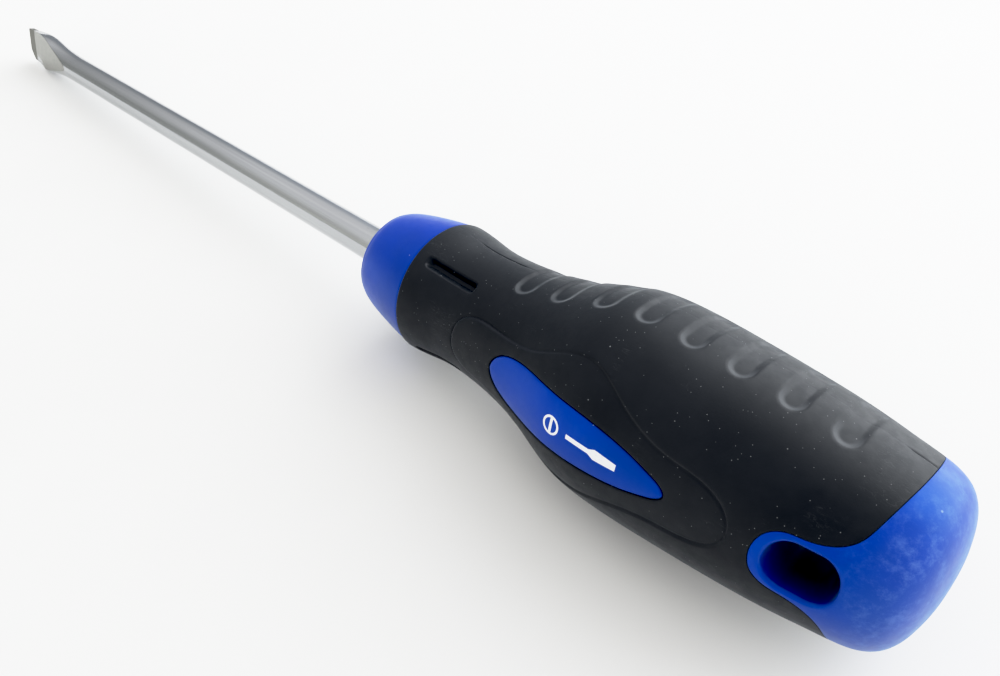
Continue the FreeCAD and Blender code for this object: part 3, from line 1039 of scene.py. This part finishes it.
# ------------------------------------------------------------------ materials
def oval_rim_highlights(graph):
    """Band just inside the rounded ends of the ovals, where a highlight is painted."""
    x, y, z = graph.split(graph.coords)
    side = sideways(y, z)
    height = z * math.cos(ROLL) - y * math.sin(ROLL)
    beyond = abs(side) - OVAL_STRAIGHT * MM
    rim_highlight = None
    for centre in OVAL_STATIONS:
        along = x - (HANDLE_X + centre) * MM
        across = graph.math("MAXIMUM", beyond, 0.0)
        distance = graph.math("SQRT", along * along + across * across)
        band = (distance.step(over=((OVAL_HALF_W - 1.25) * MM, (OVAL_HALF_W - 0.55) * MM))
                * distance.step(over=((OVAL_HALF_W - 0.25) * MM, (OVAL_HALF_W + 0.1) * MM),
                                to=(1.0, 0.0)))
        rim_highlight = band if rim_highlight is None else graph.math("MAXIMUM", rim_highlight, band)
    ends = beyond.step(over=(-0.0020, 0.0006))
    # keep to the top and bottom of the grip
    return rim_highlight * ends * graph.math("GREATER_THAN", abs(height), 0.006)


def rubber():
    graph = Material("black_grip")
    cloud = graph.noise(frequency=0.06, detail=4.0, rough=0.6)
    fine = graph.noise(frequency=2.6, rough=0.6)
    medium = graph.noise(frequency=0.45, detail=4.0, rough=0.65, offset=(3, 1, 7))
    base = graph.mix(cloud.step(over=(0.35, 0.7)),
                     off=(0.0045, 0.0054, 0.0076), on=(0.0080, 0.0092, 0.0118))
    # pale dust, small and large, at these strengths
    small, large = 0.75, 0.9
    dust = graph.math("MAXIMUM", graph.specks(cell=0.62, size=0.085, share=0.20) * small,
                      graph.specks(cell=1.5, size=0.14, share=0.16,
                                   offset=(11.3, 4.1, 2.7)) * large)
    # fine scratches in patches
    hair = graph.noise(frequency=(0.35, 1.9, 1.9), detail=2.0, rough=0.5, distort=0.6,
                       offset=(2, 9, 4), rotation=(0.3, 0.5, 0.2))
    patches = graph.noise(frequency=0.11, detail=2.0, offset=(5, 5, 1)).step(over=(0.56, 0.68))
    scratch = graph.hairlines(hair, sharpness=60.0) * patches
    base = graph.mix(dust, off=base, on=(0.26, 0.27, 0.28), amount=0.8)
    base = graph.mix(scratch, off=base, on=(0.20, 0.21, 0.22), amount=0.10)
    # painted highlight: ovals paler at their rounded ends, standing in for the bright crescents there,
    # with some scuffing
    rim_highlight = oval_rim_highlights(graph) * medium.step(over=(0.25, 0.6), to=(0.55, 1.0))
    base = graph.mix(rim_highlight, off=base, on=(0.052, 0.056, 0.062))
    # shares of each pattern in roughness and relief
    fine_rough, fine_relief, medium_relief, dust_relief = 0.08, 0.5, 0.5, 0.6
    relief = fine * fine_relief + medium * medium_relief + dust * dust_relief
    return graph.surface({
        "Base Color": base,
        "Roughness": medium.step(over=(0.3, 0.7), to=(0.40, 0.50)) + fine * fine_rough,
        "Specular IOR Level": 0.26,
        "Sheen Weight": 0.12,
        "Sheen Roughness": 0.34,
        "Sheen Tint": (0.78, 0.90, 1.0),
        "Normal": graph.bump(relief, strength=0.35, distance=0.00006)})


def blue():
    graph = Material("blue_plastic")
    cloud = graph.noise(frequency=0.05, rough=0.5, offset=(1, 2, 3))
    medium = graph.noise(frequency=0.5, detail=5.0, rough=0.7)
    fine = graph.noise(frequency=3.2, rough=0.6)
    base = graph.mix(cloud.step(over=(0.3, 0.7)),
                     off=(0.0002, 0.023, 0.27), on=(0.0004, 0.031, 0.34))
    # scuffed bloom of patches and hairlines, mostly on the butt
    x = graph.split(graph.coords)[0]
    butt = x.step(over=(0.300, 0.3165))
    scuff = graph.noise(frequency=0.42, detail=6.0, rough=0.75,
                        offset=(8, 2, 1)).step(over=(0.42, 0.80))
    hair = graph.noise(frequency=(0.5, 2.4, 2.4), detail=2.0, rough=0.5, distort=0.5,
                       offset=(7, 9, 4), rotation=(0.4, 0.2, 0.9))
    line = graph.hairlines(hair, sharpness=55.0)
    scuff_bloom, line_bloom, butt_gain, rest_gain = 0.10, 0.035, 0.8, 0.2
    bloom = (scuff * scuff_bloom + line * line_bloom) * (butt * butt_gain + rest_gain)
    base = graph.mix(bloom, off=base, on=(0.20, 0.42, 0.85))
    # painted sheen over the very end, standing in for its whitish reflection; stronger on scuff patches
    plain_sheen, scuffed_sheen = 0.08, 0.16
    painted_end_sheen = x.step(over=(0.3045, 0.3165)) * (plain_sheen + scuff * scuffed_sheen)
    base = graph.mix(painted_end_sheen, off=base, on=(0.34, 0.48, 0.80))
    dust = graph.math("MAXIMUM",
                      graph.specks(cell=3.1, size=0.15, share=0.35, offset=(2, 2, 5)),
                      graph.specks(cell=6.5, size=0.24, share=0.22, offset=(4, 8, 1)))
    base = graph.mix(dust, off=base, on=(0.6, 0.66, 0.8), amount=0.30)
    # painted shade: darker in the hollows, from ambient occlusion
    painted_shade_openness = graph.node("ShaderNodeAmbientOcclusion", {"Distance": 0.010}, output="AO",
                          samples=8)
    base = graph.mix(painted_shade_openness.step(over=(0.22, 0.82)), off=(0.0001, 0.0010, 0.020), on=base)
    # shares of each pattern in roughness and relief
    butt_rough, wear_rough, fine_relief, medium_relief = 0.03, 0.8, 0.45, 0.55
    return graph.surface({
        "Base Color": base,
        "Roughness": (medium.step(over=(0.25, 0.75), to=(0.30, 0.40))
                      + (bloom + butt * butt_rough) * wear_rough),
        "Specular IOR Level": 0.5,
        "Specular Tint": (0.18, 0.62, 1.0),
        "Sheen Weight": 0.16,
        "Sheen Roughness": 0.30,
        "Sheen Tint": (0.50, 0.86, 1.0),
        "Normal": graph.bump(fine * fine_relief + medium * medium_relief,
                             strength=0.25, distance=0.00005)})


def steel():
    graph = Material("steel")
    x, y, z = graph.split(graph.coords)
    streak = graph.noise(frequency=(0.035, 3.4, 3.4), detail=4.0, rough=0.65)
    broad = graph.noise(frequency=(0.012, 0.9, 0.9), rough=0.6, offset=(3, 1, 1))
    cloud = graph.noise(frequency=(0.05, 0.2, 0.2), rough=0.5, offset=(1, 4, 2))
    pits = graph.specks(cell=2.2, size=0.14, share=0.25, offset=(3, 3, 3), stretch=(0.6, 1, 1))
    base = graph.mix(broad.step(over=(0.35, 0.65)), off=(0.50, 0.51, 0.525), on=(0.56, 0.57, 0.58))
    base = graph.mix(cloud.step(over=(0.4, 0.75), to=(0.0, 0.35)),
                     off=base, on=(0.50, 0.505, 0.515))
    base = graph.mix(pits, off=base, on=(0.20, 0.19, 0.18), amount=0.45)
    # painted shade: darker toward the tip, standing in for the weaker light there
    base = graph.mix(x.step(over=(0.03, 0.19), to=(0.42, 0.14)), off=base, on=(0.20, 0.21, 0.225))
    # dark parallel tip with a slightly wavy border
    wave_middle, wave_size = 0.5, 0.0006
    wave = graph.noise(frequency=0.4, detail=2.0, offset=(6, 6, 6))
    border = x + (wave - wave_middle) * wave_size
    tip = border.step(over=(0.0043, 0.0047), to=(1.0, 0.0))
    grind = graph.noise(frequency=(4.5, 0.25, 0.25), rough=0.6, offset=(2, 2, 2))
    dark = graph.mix(grind.step(over=(0.3, 0.7)),
                     off=(0.085, 0.085, 0.068), on=(0.135, 0.132, 0.108))
    base = graph.mix(tip, off=base, on=dark)
    # ground faces of the wedge
    taper = TIP_HALF * MM + (x - TIP_FLAT * MM) * (WEDGE_RISE / (WEDGE_END - TIP_FLAT))
    face = ((abs(sideways(y, z)) - taper).step(over=(-0.00012, -0.00003))
            * x.step(over=(WEDGE_END * MM, WEDGE_END * MM + 0.0003), to=(1.0, 0.0)))
    ground = graph.mix(grind.step(over=(0.3, 0.7)), off=(0.24, 0.24, 0.225), on=(0.30, 0.30, 0.28))
    base = graph.mix(face * (1.0 - tip), off=base, on=ground)
    ground_rough = 0.16
    roughness = (streak.step(over=(0.25, 0.75), to=(0.13, 0.20))
                 + graph.math("MAXIMUM", tip, face) * ground_rough)
    # streaks on the plain steel, grinding marks on the ground parts
    worked = graph.math("MAXIMUM", tip, face)
    relief = streak * (1.0 - worked) + grind * worked
    return graph.surface({
        "Base Color": base,
        "Metallic": tip.step(over=(0.0, 1.0), to=(1.0, 0.75)),
        "Roughness": roughness,
        "Anisotropic": 0.35,
        "Normal": graph.bump(relief, strength=0.22, distance=0.00002)})


def ink():
    graph = Material("white_ink")
    wear = graph.noise(frequency=1.8, detail=4.0, rough=0.7).step(over=(0.55, 0.75))
    return graph.surface({
        "Base Color": graph.mix(wear, off=(0.80, 0.82, 0.86), on=(0.16, 0.22, 0.55), amount=0.45),
        "Roughness": 0.45,
        "Normal": graph.bump(wear, strength=0.1, distance=0.00002)})


def paper():
    graph = Material("stage_paper")
    cloud = graph.noise(frequency=0.02)
    # painted light falloff: paler toward +Y, and slightly toward +X, standing in for the table's uneven
    # lighting
    x_weight, y_weight = 0.05, 1.0
    x, y, _ = graph.split(graph.coords)
    painted_falloff = (x * x_weight + y * y_weight).step(over=(-0.10, 0.26))
    pale = graph.mix(painted_falloff, off=(0.79, 0.79, 0.78), on=(0.905, 0.905, 0.905))
    return graph.surface({
        "Base Color": graph.mix(cloud.step(over=(0.3, 0.7), to=(0.0, 0.25)),
                                off=pale, on=(0.88, 0.88, 0.872)),
        "Roughness": 0.75,
        "Specular IOR Level": 0.25})


steel_material, blue_material, rubber_material, ink_material = steel(), blue(), rubber(), ink()
blade = build_blade(steel_material)
core = build_core(blue_material)
grip = build_grip(rubber_material)
marks = build_marks(ink_material)
for piece, slot_name in ((blade, "steel"), (core, "blue_plastic"), (grip, "black_grip"),
                         (marks, "blue_plastic")):
    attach(piece, "root")
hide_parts("blade_shaft")
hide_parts("handle_core")
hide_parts("grip_sleeve")

# ------------------------------------------------------------------ floor
FLOOR_SLOPE = 0.0500                  # fall per length along +X
FLOOR_X, FLOOR_Z = 269.2, -19.44      # a point the floor passes through (mm)
FLOOR_HALF = 3000


def build_floor():
    mesh = bpy.data.meshes.new("floor")
    corners = []
    for side_x, side_y in ((-1, -1), (1, -1), (1, 1), (-1, 1)):
        x, y = side_x * FLOOR_HALF, side_y * FLOOR_HALF
        corners.append((x * MM, y * MM, (FLOOR_Z + (FLOOR_X - x) * FLOOR_SLOPE) * MM))
    mesh.from_pydata(corners, [], [(0, 1, 2, 3)])
    return link_mesh("floor", mesh, paper())


build_floor()

# ------------------------------------------------------------------ camera
# The camera's axes in the world, and its place (mm)
RIGHT = Vector((0.71571, 0.69728, -0.03940))
DOWN = Vector((0.43653, -0.49069, -0.75410))
FORWARD = Vector((-0.54515, 0.52252, -0.65558))
CAMERA_PLACE = (318.40, -84.08, 100.36)
# The same view along the table: away from the camera and to its right
AWAY_FLAT = Vector((-DOWN.x, -DOWN.y, 0)).normalized()
RIGHT_FLAT = Vector((RIGHT.x, RIGHT.y, 0)).normalized()


def add_camera():
    data = bpy.data.cameras.new("camera")
    data.lens = 28.8
    data.sensor_width = 36.0
    data.clip_start, data.clip_end = 0.01, 20.0
    camera = bpy.data.objects.new("camera", data)
    bpy.context.scene.collection.objects.link(camera)
    rows = [(RIGHT[k], -DOWN[k], -FORWARD[k], CAMERA_PLACE[k] * MM) for k in range(3)]
    camera.matrix_world = Matrix((*rows, (0, 0, 0, 1)))
    bpy.context.scene.camera = camera


# ------------------------------------------------------------------ world and light
# Degrees round the table (0 away from the camera, 90 to its right) and colour of the room
ROOM = [
    (-180, (0.42, 0.42, 0.42)), (-130, (0.62, 0.62, 0.60)), (-92, (0.70, 0.70, 0.66)),
    (-74, (0.40, 0.41, 0.39)), (-45, (0.33, 0.335, 0.34)), (-18, (0.31, 0.33, 0.355)),
    (0, (0.46, 0.50, 0.56)), (35, (0.85, 0.87, 0.90)), (80, (1.15, 1.15, 1.15)),
    (120, (0.85, 0.85, 0.85)), (180, (0.42, 0.42, 0.42))]


def add_world():
    world = bpy.data.worlds.new("soft_room")
    bpy.context.scene.world = world
    world.use_nodes = True
    graph = Graph(world.node_tree)
    x, y, z = graph.split(graph.node("ShaderNodeTexCoord", {}, output="Generated"))

    def toward(direction):
        return x * direction.x + (y * direction.y + z * direction.z)

    # walls by direction, pale overhead
    to_right = x * RIGHT_FLAT.x + y * RIGHT_FLAT.y
    away = x * AWAY_FLAT.x + y * AWAY_FLAT.y
    half_turn = 0.5
    around = graph.math("ARCTAN2", to_right, away) / (2 * math.pi) + half_turn
    walls = graph.node("ShaderNodeValToRGB", {0: around})
    ramp = walls.socket.node.color_ramp
    ramp.interpolation = "B_SPLINE"
    while len(ramp.elements) < len(ROOM):
        ramp.elements.new(0.5)
    for element, (degrees, colour) in zip(ramp.elements, ROOM):
        element.position = degrees / 360 + 0.5
        element.color = (*colour, 1.0)
    sky = graph.mix(z.step(over=(0.22, 0.66)), off=walls, on=(0.86, 0.86, 0.86))
    # a large window up to the right
    window = (RIGHT_FLAT * 0.80 + AWAY_FLAT * 0.30 + Vector((0, 0, 0.55))).normalized()
    sky = graph.mix(toward(window).step(over=(0.58, 0.94)), off=sky, on=(5.0, 5.2, 5.4))
    # shade round the camera's side of the room
    sky = graph.mix(toward(-FORWARD).step(over=(0.62, 0.93)), off=sky, on=(0.07, 0.075, 0.085),
                    amount=0.86)
    # diffuse rays see a plainer room, brightest overhead and from the near left
    glow = (Vector((0, 0, 0.62)) - AWAY_FLAT * 0.62 - RIGHT_FLAT * 0.48).normalized()
    glow_part = toward(glow)
    plain = graph.mix(z.step(over=(0.0, 0.75)), off=(0.26, 0.26, 0.27), on=(0.90, 0.895, 0.88))
    plain = graph.mix(glow_part.step(over=(0.20, 0.95)), off=plain, on=(1.08, 1.07, 1.05))
    diffuse = graph.node("ShaderNodeLightPath", {}, output="Is Diffuse Ray")
    sky = graph.mix(diffuse, off=sky, on=plain)
    background = graph.node("ShaderNodeBackground", {"Color": sky, "Strength": 1.16})
    graph.finish("ShaderNodeOutputWorld", background)


def add_key_light():
    """Soft disk overhead, leaning to the right and away from the camera."""
    target, distance = Vector((0.2, 0, 0)), 1.5
    lean = Vector((0, 0, 1)) * 0.90 + RIGHT_FLAT * 0.36 + AWAY_FLAT * 0.22
    direction = lean.normalized()
    data = bpy.data.lights.new("key", "AREA")
    data.shape = "DISK"
    data.size = 1.5
    data.energy = 1.6
    data.color = (1.0, 0.985, 0.96)
    light = bpy.data.objects.new("key", data)
    bpy.context.scene.collection.objects.link(light)
    light.location = target + direction * distance
    light.rotation_mode = "QUATERNION"
    light.rotation_quaternion = direction.to_track_quat("Z", "Y")


def set_view():
    """Standard view with a film-like curve."""
    view = bpy.context.scene.view_settings
    view.view_transform = "Standard"
    view.look = "None"
    view.exposure = 0.0
    view.gamma = 1.0
    view.use_curve_mapping = True
    mapping = view.curve_mapping
    mapping.black_level = (0.0150, 0.0140, 0.0120)
    mapping.white_level = (1.5, 1.5, 1.5)
    curve = mapping.curves[3]
    # (input, output) of the combined curve
    for level in ((0.2, 0.30), (0.4, 0.64), (0.6, 0.845), (0.8, 0.935)):
        curve.points.new(*level)
    curve.points[0].location = (0.0, 0.0)
    curve.points[-1].location = (1.0, 0.985)
    mapping.update()


add_camera()
add_world()
add_key_light()
set_view()
